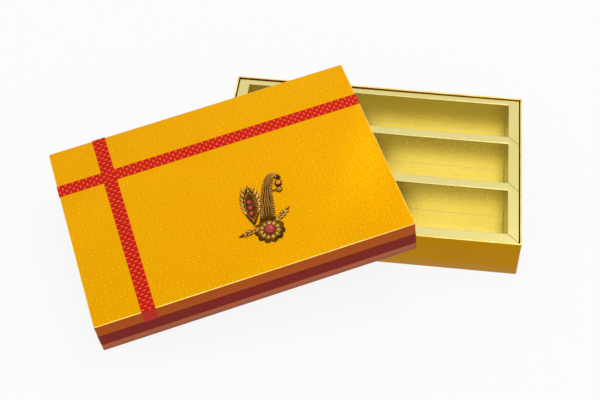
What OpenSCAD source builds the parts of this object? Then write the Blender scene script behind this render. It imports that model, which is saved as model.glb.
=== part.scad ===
/* [Tray] */
// Length of the tray, outside
tray_l = 254; // [220:1:320]
// Depth of the tray from front to back, outside
tray_d = 174; // [164:1:230]
// Height of the tray's walls
tray_h = 36.5; // [30:0.5:60]

/* [Lid] */
// Height of the lid's walls
lid_h = 34.5; // [30:0.5:55]
// Play between the closed lid and the tray, on each side
lid_gap = 0.6; // [0.3:0.1:2]

/* [Board and paper] */
// Thickness of the grey board
board_t = 1; // [0.8:0.1:2]
// Thickness of the foil wraps, the linings and the corner tapes
paper_t = 0.2; // [0.15:0.05:0.4]
// Radius of the upright corners, outside
corner_r = 1.4; // [0.8:0.1:4]
// Thickness of the sheet pasted under the tray
base_sheet_t = 0.3; // [0.2:0.05:0.6]
// Distance from the tray's edges to the sheet pasted under it
base_sheet_inset = 4; // [2:0.5:12]
// How far the wraps turn in over the rims and under the tray
turn_in = 15; // [8:1:22]
// How far the turn-ins of the long walls stop short of the corners
turn_in_cut = 8; // [3:0.5:20]
// Width of a corner tape on each of its two walls
tape_w = 12; // [6:1:25]
// Distance from a corner tape to the board's upper and lower edges
tape_inset = 1.5; // [0.5:0.5:6]

/* [Insert] */
// Thickness of the gold card
card_t = 0.5; // [0.3:0.05:0.8]
// Gap between the insert and the tray's walls
insert_gap = 1; // [0.3:0.1:2.5]
// Drop from the tray's rim to the insert's flanges
insert_drop = 1.5; // [0.5:0.5:8]
// Width of the front row
front_row_w = 48.5; // [30:0.5:52]
// Width of the middle row
middle_row_w = 47; // [30:0.5:52]
// Width of the dividers between the rows
divider_w = 8.8; // [5:0.1:12]
// Width of the flange in front of the rows
front_flange_w = 9.9; // [6:0.1:13]
// Width of the flange behind the rows
back_flange_w = 5.7; // [4:0.1:10]
// Width of the flanges at the ends of the rows
end_flange_w = 9.1; // [6:0.1:16]
// Radius of the card's folds, outside
fold_r = 0.9; // [0.85:0.05:1.5]
// Width of the mitre cuts between two flanges
mitre_cut_w = 0.4; // [0.2:0.1:1]

/* [Ribbons] */
// Width of the two ribbons
ribbon_w = 11.2; // [6:0.1:16]
// Thickness of the ribbons and of the side band
ribbon_t = 0.15; // [0.1:0.05:0.4]
// Distance from the lid's left edge to the middle of the short ribbon
short_ribbon_x = 43; // [25:0.5:90]
// Distance from the lid's back edge to the middle of the long ribbon
long_ribbon_y = 41.5; // [25:0.5:70]
// Width of the band round the lid's walls
band_w = 12.4; // [6:0.1:15]
// Height of the band's lower edge above the lid's rim
band_rise = 8.3; // [3:0.1:12]

/* [Ornament] */
// Distance from the lid's left edge to the middle of the ornament
ornament_x = 153.6; // [120:0.5:190]
// Distance from the lid's front edge to the middle of the ornament
ornament_y = 58.3; // [50:0.5:85]
// Turn of the ornament on the lid, in degrees
ornament_turn = -19; // [-45:1:45]
// Thickness of the ornament's plate
plate_t = 0.6; // [0.4:0.1:1.2]
// Height of the relief on the plate
relief_t = 0.7; // [0.3:0.1:1.5]
// Radius of the large red stone
large_stone_r = 3.9; // [2.5:0.1:4.5]
// Radius of the three red stones in the wing
wing_stone_r = 2; // [1.2:0.1:2.2]
// Radius of the amber bead below the head
bead_r = 2.3; // [1.5:0.1:2.6]
// Width of the rim that holds a stone
bezel_w = 0.7; // [0.4:0.1:1]

/* [Where the lid lies] */
// Turn of the lid on the table, in degrees
lid_yaw = 23.8; // [18:0.2:30]
// Distance along the lid's back wall from its left end to the tray's left rim
back_wall_crossing = 149.5; // [140:0.5:165]
// Distance along the lid's right wall from its front end to the tray's front rim
right_wall_crossing = 14.7; // [10:0.5:25]
// Clearance where the lid lies on the rims and on the table
rest_gap = 0.3; // [0.1:0.05:0.6]

/* [Hidden] */

// Overshoot of every cutter
over = 1;
// A covered wall is paper, board and turned-in paper
wall_t = board_t + 2 * paper_t;
lid_l = tray_l + 2 * (wall_t + lid_gap);
lid_d = tray_d + 2 * (wall_t + lid_gap);
// Paper outside the boards of the closed side
tray_under = base_sheet_t + paper_t;
lid_under = paper_t;
// Three flats to a quarter turn, so that neighbouring layers meet on flat faces
corner_fn = 12;
// Facets of the ornament's round forms, large and small
round_fn = 48;
small_fn = 20;

// Levels of the side band, from the lid's top down
band_z = [lid_h - band_rise - band_w, lid_h - band_rise];

// Levels of the insert, which stands on the tray's lining
card_floor_z = tray_under + board_t + paper_t + card_t;
card_top_z = tray_h - insert_drop;
// Edges of the insert, seen from above
insert_x = tray_l / 2 - wall_t - insert_gap;
insert_y = tray_d / 2 - wall_t - insert_gap;
row_x = insert_x - end_flange_w;
front_row_y = -insert_y + front_flange_w;
middle_row_y = front_row_y + front_row_w + divider_w;
back_row_y = middle_row_y + middle_row_w + divider_w;
back_row_w = insert_y - back_flange_w - back_row_y;
// Front edge and width of each row, from the front
rows = [
    [front_row_y, front_row_w],
    [middle_row_y, middle_row_w],
    [back_row_y, back_row_w]
];
// Facets of a fold
fold_fn = 24;

// The lid leans on the tray's left and front rims and on the table. The slopes of its rim
// along its own length and depth follow from those three heights.
slope_det = back_wall_crossing * right_wall_crossing - (lid_d - wall_t) * (lid_l - wall_t);
slope_l = tray_h * (right_wall_crossing - (lid_d - wall_t)) / slope_det;
slope_d = tray_h * (back_wall_crossing - (lid_l - wall_t)) / slope_det;
lid_tilt_y = -asin(slope_l);
lid_tilt_x = asin(slope_d / cos(lid_tilt_y));
// Plan view of the lid's two unit vectors, and where its front left corner stands
lid_u = [cos(lid_yaw) * cos(lid_tilt_y), sin(lid_yaw) * cos(lid_tilt_y)];
lid_v = [
    cos(lid_yaw) * sin(lid_tilt_y) * sin(lid_tilt_x) - sin(lid_yaw) * cos(lid_tilt_x),
    sin(lid_yaw) * sin(lid_tilt_y) * sin(lid_tilt_x) + cos(lid_yaw) * cos(lid_tilt_x)
];
lid_foot = [
    -tray_l / 2 - back_wall_crossing * lid_u[0] - (lid_d - wall_t) * lid_v[0],
    -tray_d / 2 - (lid_l - wall_t) * lid_u[1] - right_wall_crossing * lid_v[1],
    rest_gap
];

// Places on the ornament, from its middle: a long-necked bird with one wing raised, on a
// rosette between two sprigs
neck = [[2.6, -12], [0.5, 10], [-3, 40], [10.2, 28.5]];
neck_w = [13, 3.4];
wing_root = [-7.6, -17.6];
wing_tip = [-15.6, 21.6];
wing_w = 14;
rosette_at = [4.5, -22];
rosette_r = 9.4;
petals = 11;
petal_r = 2.8;
right_sprig = [[8, -15], [19.4, 0]];
left_sprig = [[-2, -19.5], [-20, -28]];
sprig_w = 5;
bead_at = [9.6, 23.4];
blossom_at = [10.4, 17.2];
blossom_r = 1.5;
blossom_petals = 5;
stem_w = 1.1;
// Where the stem leaves the neck, as a share of the neck's curve
stem_join = 0.4;
wing_stones_at = [[-13, 4.6], [-11.8, -0.9], [-10.6, -6.4]];
// Places and radii of the red stones, and of all that sits in a bezel
stones = [
    [rosette_at, large_stone_r],
    for (at = wing_stones_at) [at, wing_stone_r]
];
bezels = [each stones, [bead_at, bead_r]];
// Feathers along the wing: where they start, from its root to its tip, and their size
feather_at = [0.3, 0.95];
feathers = 6;
feather = [6.5, 3];
feather_spread = 24;
// Width of the relief on a leaf or on the neck, as a share of what it lies on
relief_share = 0.6;
// Height of a bezel above the rest of the relief
bezel_rise = 0.3;
// Play between a stone and its bezel
stone_play = 0.1;
// Height of a stone, as a share of its radius
stone_dome = 0.7;
dome_steps = 6;
curve_steps = 14;

function lerp(a, b, t) = a + (b - a) * t;
function unit(v) = v / norm(v);
function right_of(v) = [v[1], -v[0]];
function reversed(list) = [for (i = [len(list) - 1:-1:0]) list[i]];

function bezier(p, t) =
    pow(1 - t, 3) * p[0] + 3 * t * pow(1 - t, 2) * p[1]
    + 3 * t * t * (1 - t) * p[2] + pow(t, 3) * p[3];
function bezier_way(p, t) =
    unit(pow(1 - t, 2) * (p[1] - p[0]) + 2 * t * (1 - t) * (p[2] - p[1]) + t * t * (p[3] - p[2]));

// Block from low to high on each axis
module block(x, y, z) {
    translate([x[0], y[0], z[0]])
        cube([x[1] - x[0], y[1] - y[0], z[1] - z[0]]);
}

// Rectangle with the box's upright corners
module plan(l, d, r) {
    square([l - 2 * r, d], center = true);
    square([l, d - 2 * r], center = true);
    for (x = [-1, 1], y = [-1, 1])
        translate([x * (l / 2 - r), y * (d / 2 - r)])
            circle(r, $fn = corner_fn);
}

// Upright skin of thickness t inside the plan l by d, from z[0] to z[1]
module skin(l, d, r, t, z) {
    translate([0, 0, z[0]])
        linear_extrude(z[1] - z[0])
            difference() {
                plan(l, d, r);
                plan(l - 2 * t, d - 2 * t, r - t);
            }
}

// Paper tapes that hold the corners of the boards of a box l by d by h
module corner_tapes(l, d, h, under) {
    z = [under + tape_inset, h - paper_t - tape_inset];
    reach = tape_w + paper_t;
    for (x = [-1, 1], y = [-1, 1])
        intersection() {
            skin(l - 2 * paper_t, d - 2 * paper_t, corner_r - paper_t, paper_t, z);
            translate([x * l / 2, y * d / 2, (z[0] + z[1]) / 2])
                cube([2 * reach, 2 * reach, z[1] - z[0]], center = true);
        }
}

// Space that the corner tapes take out of the boards
module corner_tape_space(l, d, h, under) {
    z = [under + tape_inset, h - paper_t - tape_inset];
    reach = tape_w + paper_t;
    for (x = [-1, 1], y = [-1, 1])
        difference() {
            translate([x * l / 2, y * d / 2, (z[0] + z[1]) / 2])
                cube([2 * reach, 2 * reach, z[1] - z[0]], center = true);
            translate([0, 0, z[0] - over])
                linear_extrude(z[1] - z[0] + 2 * over)
                    plan(l - 4 * paper_t, d - 4 * paper_t, corner_r - 2 * paper_t);
        }
}

// Board of one wall of a box l by d by h, of the side "front", "back", "left" or "right"
module wall_board(l, d, h, under, side) {
    long_x = l / 2 - paper_t;
    long_y = d / 2 - paper_t;
    difference() {
        intersection() {
            translate([0, 0, under])
                linear_extrude(h - paper_t - under)
                    plan(l - 2 * paper_t, d - 2 * paper_t, corner_r - paper_t);
            if (side == "front")
                block([-long_x, long_x], [-long_y, -long_y + board_t], [0, h]);
            if (side == "back")
                block([-long_x, long_x], [long_y - board_t, long_y], [0, h]);
            if (side == "left")
                block([-long_x, -long_x + board_t], [-long_y + board_t, long_y - board_t], [0, h]);
            if (side == "right")
                block([long_x - board_t, long_x], [-long_y + board_t, long_y - board_t], [0, h]);
        }
        corner_tape_space(l, d, h, under);
    }
}

// Board between the walls, on the closed side
module closed_board(l, d, under) {
    inner_l = l - 2 * (paper_t + board_t);
    inner_d = d - 2 * (paper_t + board_t);
    translate([-inner_l / 2, -inner_d / 2, under])
        cube([inner_l, inner_d, board_t]);
}

// Lining sheet on the closed side's board
module lining(l, d, under) {
    inner_l = l - 2 * (paper_t + board_t);
    inner_d = d - 2 * (paper_t + board_t);
    translate([-inner_l / 2, -inner_d / 2, under + board_t])
        cube([inner_l, inner_d, paper_t]);
}

// Foil paper on the walls from z = low up, over the rim and down inside
module wall_wrap(l, d, h, low) {
    skin(l, d, corner_r, paper_t, [low, h]);
    difference() {
        translate([0, 0, h - paper_t])
            linear_extrude(paper_t)
                plan(l, d, corner_r);
        cube([l - 2 * (paper_t + board_t), d - 2 * (paper_t + board_t), 3 * h], center = true);
    }
    board_x = l / 2 - paper_t - board_t;
    board_y = d / 2 - paper_t - board_t;
    z = [h - turn_in, h];
    for (side = [-1, 1]) {
        translate([0, side * (board_y - paper_t / 2), (z[0] + z[1]) / 2])
            cube([2 * (board_x - turn_in_cut), paper_t, turn_in], center = true);
        translate([side * (board_x - paper_t / 2), 0, (z[0] + z[1]) / 2])
            cube([paper_t, 2 * board_y, turn_in], center = true);
    }
}

module tray_base_sheet() {
    sheet_l = tray_l - 2 * base_sheet_inset;
    sheet_d = tray_d - 2 * base_sheet_inset;
    color("gainsboro")
        translate([-sheet_l / 2, -sheet_d / 2, 0])
            cube([sheet_l, sheet_d, base_sheet_t]);
}

module tray_base_board() {
    color("darkgray") closed_board(tray_l, tray_d, tray_under);
}

module tray_front_board() {
    color("darkgray") wall_board(tray_l, tray_d, tray_h, tray_under, "front");
}

module tray_back_board() {
    color("darkgray") wall_board(tray_l, tray_d, tray_h, tray_under, "back");
}

module tray_left_board() {
    color("darkgray") wall_board(tray_l, tray_d, tray_h, tray_under, "left");
}

module tray_right_board() {
    color("darkgray") wall_board(tray_l, tray_d, tray_h, tray_under, "right");
}

module tray_corner_tapes() {
    color("tan") corner_tapes(tray_l, tray_d, tray_h, tray_under);
}

// Gold foil paper, turned in over the rim and under the base
module tray_wrap() {
    color("goldenrod") {
        wall_wrap(tray_l, tray_d, tray_h, base_sheet_t);
        translate([0, 0, base_sheet_t])
            linear_extrude(paper_t)
                difference() {
                    plan(tray_l, tray_d, corner_r);
                    square([tray_l - 2 * turn_in, tray_d - 2 * turn_in], center = true);
                }
    }
}

module tray_lining() {
    color("white") lining(tray_l, tray_d, tray_under);
}

// One card folded into three rows, with hollow dividers between them and flanges round them
module insert_card() {
    color("khaki")
        difference() {
            union() {
                block([-insert_x, insert_x], [-insert_y, insert_y], [card_top_z - card_t, card_top_z]);
                for (row = rows)
                    folded_row(row[0], row[1], card_t, card_top_z);
            }
            for (row = rows) {
                folded_row(row[0], row[1], 0, card_top_z + over);
                for (end = [0, 1])
                    mirror([end, 0, 0])
                        mitre_cut(row[0]);
            }
        }
}

// A row as it is bounded by the card's back, for back_t of the card's thickness, or by the
// card's visible side, for a back_t of 0
module folded_row(front_y, width, back_t, high) {
    intersection() {
        translate([0, front_y + width / 2, 0])
            rotate([90, 0, 90])
                linear_extrude(2 * insert_x, center = true)
                    row_section(width, back_t, high);
        rotate([90, 0, 0])
            linear_extrude(2 * insert_y, center = true)
                row_section(2 * row_x, back_t, high);
    }
}

// Section across a row, folded up from its floor and out into its flanges
module row_section(width, back_t, high) {
    floor_r = fold_r - card_t + back_t;
    flange_r = fold_r - back_t;
    half_w = width / 2 + back_t;
    low = card_floor_z - back_t;
    fold_z = card_top_z - fold_r;
    difference() {
        union() {
            translate([-half_w + floor_r, low])
                square([2 * (half_w - floor_r), high - low]);
            translate([-half_w, low + floor_r])
                square([2 * half_w, high - low - floor_r]);
            for (side = [-1, 1])
                translate([side * (half_w - floor_r), low + floor_r])
                    circle(floor_r, $fn = fold_fn);
            translate([-width / 2 - fold_r, fold_z])
                square([width + 2 * fold_r, high - fold_z]);
        }
        for (side = [-1, 1])
            translate([side * (width / 2 + fold_r), fold_z])
                circle(flange_r, $fn = fold_fn);
    }
}

// Cut from a row's front corner across the flange
module mitre_cut(front_y) {
    translate([row_x, front_y, card_top_z - 2 * fold_r])
        rotate(-45)
            translate([-mitre_cut_w, -mitre_cut_w / 2, 0])
                cube([2 * end_flange_w + mitre_cut_w, mitre_cut_w, 2 * fold_r + over]);
}

// Puts a box that stands open side up on the table into the lid's place
module lid_place() {
    translate(lid_foot)
        rotate([lid_tilt_x, lid_tilt_y, lid_yaw])
            translate([lid_l / 2, lid_d / 2, lid_h])
                mirror([0, 0, 1])
                    children();
}

// Puts what is drawn on the lid's top, from its front left corner, into place
module lid_top_place() {
    translate(lid_foot)
        rotate([lid_tilt_x, lid_tilt_y, lid_yaw])
            translate([0, 0, lid_h])
                children();
}

module lid_top_board() {
    color("darkgray") lid_place() closed_board(lid_l, lid_d, lid_under);
}

module lid_front_board() {
    color("darkgray") lid_place() wall_board(lid_l, lid_d, lid_h, lid_under, "front");
}

module lid_back_board() {
    color("darkgray") lid_place() wall_board(lid_l, lid_d, lid_h, lid_under, "back");
}

module lid_left_board() {
    color("darkgray") lid_place() wall_board(lid_l, lid_d, lid_h, lid_under, "left");
}

module lid_right_board() {
    color("darkgray") lid_place() wall_board(lid_l, lid_d, lid_h, lid_under, "right");
}

module lid_corner_tapes() {
    color("tan") lid_place() corner_tapes(lid_l, lid_d, lid_h, lid_under);
}

// Embossed gold foil paper over the top and the walls
module lid_wrap() {
    color("orange")
        lid_place() {
            wall_wrap(lid_l, lid_d, lid_h, 0);
            linear_extrude(paper_t)
                plan(lid_l, lid_d, corner_r);
        }
}

module lid_lining() {
    color("white") lid_place() lining(lid_l, lid_d, lid_under);
}

// Band round the lid's walls
module lid_side_band() {
    color("darkred")
        lid_place()
            skin(lid_l + 2 * ribbon_t, lid_d + 2 * ribbon_t, corner_r + ribbon_t, ribbon_t, band_z);
}

module lid_long_ribbon() {
    y = [lid_d - long_ribbon_y - ribbon_w / 2, lid_d - long_ribbon_y + ribbon_w / 2];
    color("crimson")
        lid_top_place() {
            block([-ribbon_t, lid_l + ribbon_t], y, [0, ribbon_t]);
            block([-ribbon_t, 0], y, [-band_z[0], ribbon_t]);
            block([lid_l, lid_l + ribbon_t], y, [-band_z[0], ribbon_t]);
        }
}

// Passes over the long ribbon where the two cross
module lid_short_ribbon() {
    x = [short_ribbon_x - ribbon_w / 2, short_ribbon_x + ribbon_w / 2];
    crossing = [lid_d - long_ribbon_y - ribbon_w / 2, lid_d - long_ribbon_y + ribbon_w / 2];
    color("crimson")
        lid_top_place() {
            block(x, [-ribbon_t, crossing[0]], [0, ribbon_t]);
            block(x, [crossing[1], lid_d + ribbon_t], [0, ribbon_t]);
            block(x, crossing + ribbon_t * [-1, 1], [ribbon_t, 2 * ribbon_t]);
            block(x, [-ribbon_t, 0], [-band_z[0], ribbon_t]);
            block(x, [lid_d, lid_d + ribbon_t], [-band_z[0], ribbon_t]);
        }
}

// Leaf from the origin along +Y
module leaf(length, width) {
    polygon([
        for (k = [0:curve_steps])
            [width / 2 * sin(180 * k / curve_steps), length * k / curve_steps],
        for (k = [curve_steps - 1:-1:1])
            [-width / 2 * sin(180 * k / curve_steps), length * k / curve_steps]
    ]);
}

// Puts a leaf's axis on the line from start to tip
module along(start, tip) {
    way = tip - start;
    translate(start)
        rotate(atan2(way[1], way[0]) - 90)
            children();
}

// Neck that tapers along its curve, as wide as share of its full width
module neck_shape(share) {
    edge = [
        for (side = [1, -1])
            [for (k = [0:curve_steps])
                let (t = k / curve_steps)
                    bezier(neck, t)
                    + side * share / 2 * lerp(neck_w[0], neck_w[1], t) * right_of(bezier_way(neck, t))]
    ];
    polygon(concat(edge[0], reversed(edge[1])));
}

module wing_shape() {
    length = norm(wing_tip - wing_root);
    along(wing_root, wing_tip) {
        leaf(length, wing_w);
        for (k = [0:feathers - 1], side = [-1, 1]) {
            t = lerp(feather_at[0], feather_at[1], k / feathers);
            translate([side * (wing_w - feather[1]) / 2 * sin(180 * t), length * t])
                rotate(-side * feather_spread)
                    leaf(feather[0], feather[1]);
        }
    }
}

module rosette_shape() {
    translate(rosette_at) {
        circle(rosette_r, $fn = round_fn);
        for (k = [0:petals - 1])
            rotate(360 * k / petals)
                translate([rosette_r, 0])
                    circle(petal_r, $fn = small_fn);
    }
}

module ornament_place() {
    lid_top_place()
        translate([ornament_x, ornament_y, 0])
            rotate(ornament_turn)
                children();
}

// Stamped metal bird on the lid
module lid_ornament() {
    color("peru")
        ornament_place() {
            linear_extrude(plate_t) {
                neck_shape(1);
                wing_shape();
                rosette_shape();
                for (sprig = [left_sprig, right_sprig])
                    along(sprig[0], sprig[1])
                        leaf(norm(sprig[1] - sprig[0]), sprig_w);
                for (tip = [bezier(neck, stem_join), neck[3]])
                    along(blossom_at, tip)
                        translate([-stem_w / 2, 0])
                            square([stem_w, norm(tip - blossom_at)]);
                for (k = [0:blossom_petals - 1])
                    translate(blossom_at)
                        rotate(360 * k / blossom_petals)
                            translate([blossom_r, 0])
                                circle(blossom_r, $fn = small_fn);
                for (stone = bezels)
                    translate(stone[0])
                        circle(stone[1] + bezel_w);
            }
            translate([0, 0, plate_t])
                linear_extrude(relief_t) {
                    neck_shape(relief_share);
                    along(wing_root, wing_tip)
                        leaf(norm(wing_tip - wing_root), relief_share * wing_w);
                    for (stone = bezels)
                        translate(stone[0])
                            circle(stone[1] + bezel_w);
                }
            for (stone = bezels)
                translate([stone[0][0], stone[0][1], plate_t])
                    linear_extrude(relief_t + bezel_rise)
                        difference() {
                            circle(stone[1] + bezel_w);
                            circle(stone[1]);
                        }
        }
}

// Domed stone on the floor of its bezel
module domed_stone(stone) {
    r = stone[1] - stone_play;
    translate([stone[0][0], stone[0][1], plate_t + relief_t])
        rotate_extrude($fn = round_fn)
            polygon([
                [0, 0],
                for (k = [0:dome_steps])
                    [r * cos(90 * k / dome_steps), stone_dome * stone[1] * sin(90 * k / dome_steps)]
            ]);
}

// Red stones of the rosette and the wing
module lid_stones() {
    color("firebrick")
        ornament_place()
            for (stone = stones)
                domed_stone(stone);
}

// Amber bead below the bird's head
module lid_bead() {
    color("orange")
        ornament_place()
            domed_stone([bead_at, bead_r]);
}

tray_base_sheet();
tray_base_board();
tray_front_board();
tray_back_board();
tray_left_board();
tray_right_board();
tray_corner_tapes();
tray_wrap();
tray_lining();
insert_card();
lid_top_board();
lid_front_board();
lid_back_board();
lid_left_board();
lid_right_board();
lid_corner_tapes();
lid_wrap();
lid_lining();
lid_side_band();
lid_long_ribbon();
lid_short_ribbon();
lid_ornament();
lid_stones();
lid_bead();
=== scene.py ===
"""Looks of a foil-covered sweet box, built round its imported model.

The tray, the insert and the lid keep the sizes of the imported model. The foil with its
rounded edges, the embossed drops, the woven ribbons and the relief of the metal bird are
made here. Sizes are in millimetres, unless a docstring gives another unit.
"""
import logging
import math
from dataclasses import dataclass, field
from enum import Enum

import bpy
import numpy as np
from mathutils import Matrix, Vector

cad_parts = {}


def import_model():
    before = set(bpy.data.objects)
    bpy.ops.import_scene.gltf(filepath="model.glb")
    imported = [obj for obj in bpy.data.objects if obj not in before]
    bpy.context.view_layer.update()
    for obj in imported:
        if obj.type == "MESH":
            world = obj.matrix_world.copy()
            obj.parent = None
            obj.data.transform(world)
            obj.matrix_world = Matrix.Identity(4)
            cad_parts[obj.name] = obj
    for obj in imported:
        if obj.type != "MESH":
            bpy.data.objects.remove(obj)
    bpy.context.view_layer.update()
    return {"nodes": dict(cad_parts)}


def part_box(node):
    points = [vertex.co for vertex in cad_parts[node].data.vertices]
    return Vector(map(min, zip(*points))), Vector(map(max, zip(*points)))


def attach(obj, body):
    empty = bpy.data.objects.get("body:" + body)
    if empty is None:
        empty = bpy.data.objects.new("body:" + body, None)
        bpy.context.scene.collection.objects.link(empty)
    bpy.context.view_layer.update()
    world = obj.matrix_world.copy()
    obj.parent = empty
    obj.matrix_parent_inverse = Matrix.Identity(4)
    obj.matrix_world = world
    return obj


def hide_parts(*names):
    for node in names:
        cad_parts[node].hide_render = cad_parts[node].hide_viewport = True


MM = 0.001
SHARP_ANGLE = math.radians(50)
LOG = logging.getLogger("sweet_box")
Socket = bpy.types.NodeSocket
Value = Socket | float | tuple


class Body(Enum):
    """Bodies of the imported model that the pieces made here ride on."""

    TRAY = "tray"
    LID = "lid"


def rgb(red: int, green: int, blue: int) -> tuple:
    """Works out the linear colour of an 8-bit display colour.

    Args:
        red: Red, from 0 to 255.
        green: Green, from 0 to 255.
        blue: Blue, from 0 to 255.

    Returns:
        The linear colour, with full alpha.
    """
    def linear(value: int) -> float:
        """Undoes the display curve of one channel."""
        part = value / 255
        return part / 12.92 if part <= 0.04045 else ((part + 0.055) / 1.055) ** 2.4
    return (linear(red), linear(green), linear(blue), 1.0)


def new_piece(name: str, points: list, faces: list, place: Matrix | None = None) -> bpy.types.Object:
    """Makes a mesh object.

    Args:
        name: Name of the piece.
        points: Places of its corners.
        faces: Corner numbers of each face.
        place: Where the piece's own frame lies, in metres, or None for the shared frame.

    Returns:
        The object, at the origin, with its place in its mesh.
    """
    mesh = bpy.data.meshes.new(name)
    mesh.from_pydata([Vector(point) * MM for point in points], [], faces)
    if place is not None:
        mesh.transform(place)
    mesh.validate()
    mesh.update()
    piece = bpy.data.objects.new(name, mesh)
    bpy.context.scene.collection.objects.link(piece)
    return piece


def smooth_soft_edges(piece: bpy.types.Object) -> None:
    """Smooths a piece's shading, except across its sharp edges."""
    piece.data.shade_smooth()
    piece.data.set_sharp_from_angle(angle=SHARP_ANGLE)


def dress(piece: bpy.types.Object, material: bpy.types.Material) -> None:
    """Gives a piece one material all over.

    Args:
        piece: The piece, with or without material slots.
        material: The material.
    """
    slots = piece.data.materials
    if len(slots) == 0:
        slots.append(material)
    for index in range(len(slots)):
        slots[index] = material


def point_on_way(start: tuple, end: tuple, step: int, steps: int) -> tuple:
    """Point after some of the equal steps from a start to an end."""
    return tuple(a + (b - a) * step / steps for a, b in zip(start, end))


def on_circle(centre: tuple, radius: float, angle: float) -> tuple:
    """Point of a circle at an angle in radians."""
    return (centre[0] + radius * math.cos(angle), centre[1] + radius * math.sin(angle))


class Links:
    """Short calls for building a node tree."""

    def __init__(self, tree: bpy.types.NodeTree) -> None:
        """Keeps the tree that the nodes go into."""
        self.tree = tree

    def node(self, kind: str, **properties: str | bool | bpy.types.NodeTree) -> bpy.types.Node:
        """Adds a node.

        Args:
            kind: Type of the node.
            properties: Its properties and their values.

        Returns:
            The node.
        """
        made = self.tree.nodes.new(kind)
        for name, value in properties.items():
            setattr(made, name, value)
        return made

    def join(self, source: Value, target: Socket) -> None:
        """Links a socket to another, or gives the other a value.

        Args:
            source: The socket or the value.
            target: The input socket.
        """
        if isinstance(source, Socket):
            self.tree.links.new(source, target)
        else:
            target.default_value = source

    def math(self, operation: str, first: Value, second: Value = 0.0) -> Socket:
        """Adds a math node.

        Args:
            operation: Its operation.
            first: Its first input.
            second: Its second input.

        Returns:
            Its output.
        """
        made = self.node("ShaderNodeMath", operation=operation)
        self.join(first, made.inputs[0])
        self.join(second, made.inputs[1])
        return made.outputs[0]

    def vector(self, x: Value, y: Value, z: Value) -> Socket:
        """Adds a vector made of three numbers.

        Args:
            x: Its first number.
            y: Its second number.
            z: Its third number.

        Returns:
            The vector.
        """
        made = self.node("ShaderNodeCombineXYZ")
        for value, target in zip((x, y, z), made.inputs):
            self.join(value, target)
        return made.outputs[0]


@dataclass(frozen=True)
class Surface:
    """Shader group that varies a colour, its gloss and its height over a surface.

    The share of the dark colour is Cloud * (2 * cloud noise - 0.5).
    """

    noise_detail: float = 3
    gloss_spread: float = 0.18

    def group(self) -> bpy.types.NodeTree:
        """Builds the group.

        Returns:
            The group, with inputs Color, Dark, Grain Scale, Grain, Cloud Scale, Cloud and
            Roughness, and outputs Color, Roughness and Height.
        """
        group = bpy.data.node_groups.new("paper_surface", "ShaderNodeTree")
        colors = {"Color", "Dark"}
        sockets = {"INPUT": ("Color", "Dark", "Grain Scale", "Grain", "Cloud Scale", "Cloud", "Roughness"),
                   "OUTPUT": ("Color", "Roughness", "Height")}
        for in_out, names in sockets.items():
            for name in names:
                kind = "NodeSocketColor" if name in colors else "NodeSocketFloat"
                group.interface.new_socket(name, in_out=in_out, socket_type=kind)
        links = Links(group)
        given = links.node("NodeGroupInput").outputs
        result = links.node("NodeGroupOutput").inputs
        place = links.node("ShaderNodeTexCoord").outputs["Object"]
        grain = self.noise(links, place, given["Grain Scale"])
        cloud = self.noise(links, place, given["Cloud Scale"])
        strength = links.math("MULTIPLY", given["Cloud"], 2.0)
        shade = links.math("MULTIPLY", links.math("SUBTRACT", cloud, 0.5), strength)
        mix = links.node("ShaderNodeMix", data_type="RGBA", clamp_factor=True)
        half_dark = links.math("MULTIPLY", given["Cloud"], 0.5)
        links.join(links.math("ADD", shade, half_dark), mix.inputs["Factor"])
        links.join(given["Color"], mix.inputs["A"])
        links.join(given["Dark"], mix.inputs["B"])
        links.join(mix.outputs["Result"], result["Color"])
        gloss = links.math("MULTIPLY", links.math("SUBTRACT", grain, 0.5), self.gloss_spread)
        links.join(links.math("ADD", given["Roughness"], gloss), result["Roughness"])
        links.join(links.math("MULTIPLY", grain, given["Grain"]), result["Height"])
        return group

    def noise(self, links: Links, place: Socket, scale: Socket) -> Socket:
        """Adds a noise over the piece's own place.

        Args:
            links: The group's tree.
            place: Place on the piece.
            scale: Scale of the noise.

        Returns:
            The noise, from 0 to 1.
        """
        noise = links.node("ShaderNodeTexNoise")
        links.join(place, noise.inputs["Vector"])
        links.join(scale, noise.inputs["Scale"])
        noise.inputs["Detail"].default_value = self.noise_detail
        return noise.outputs["Fac"]


@dataclass(frozen=True)
class Finish:
    """Finish of one kind of paper, card, foil, metal or stone.

    The colour drifts to the dark one in clouds, and the grain gives gloss and bump.
    """

    name: str
    color: tuple
    dark: tuple
    metallic: float = 1.0
    roughness: float = 0.35
    grain_scale: float = 900.0
    grain: float = 0.3
    cloud_scale: float = 18.0
    cloud: float = 0.3
    bump: float = 0.2
    bump_depth: float = 0.2
    coat: float = 0.0
    coat_roughness: float = 0.08

    def material(self, group: bpy.types.NodeTree) -> bpy.types.Material:
        """Builds the finish as a material.

        Args:
            group: The shared surface group.

        Returns:
            The material.
        """
        made = bpy.data.materials.new(self.name)
        made.use_nodes = True
        made.diffuse_color = self.color
        links = Links(made.node_tree)
        shader = made.node_tree.nodes["Principled BSDF"]
        surface = links.node("ShaderNodeGroup", node_tree=group)
        values = {"Color": self.color, "Dark": self.dark, "Grain Scale": self.grain_scale,
                  "Grain": self.grain, "Cloud Scale": self.cloud_scale, "Cloud": self.cloud,
                  "Roughness": self.roughness}
        for name, value in values.items():
            surface.inputs[name].default_value = value
        links.join(surface.outputs["Color"], shader.inputs["Base Color"])
        links.join(surface.outputs["Roughness"], shader.inputs["Roughness"])
        bump = links.node("ShaderNodeBump")
        bump.inputs["Strength"].default_value = self.bump
        bump.inputs["Distance"].default_value = self.bump_depth * MM
        links.join(surface.outputs["Height"], bump.inputs["Height"])
        links.join(bump.outputs["Normal"], shader.inputs["Normal"])
        shader.inputs["Metallic"].default_value = self.metallic
        shader.inputs["Coat Weight"].default_value = self.coat
        shader.inputs["Coat Roughness"].default_value = self.coat_roughness
        return made


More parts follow.
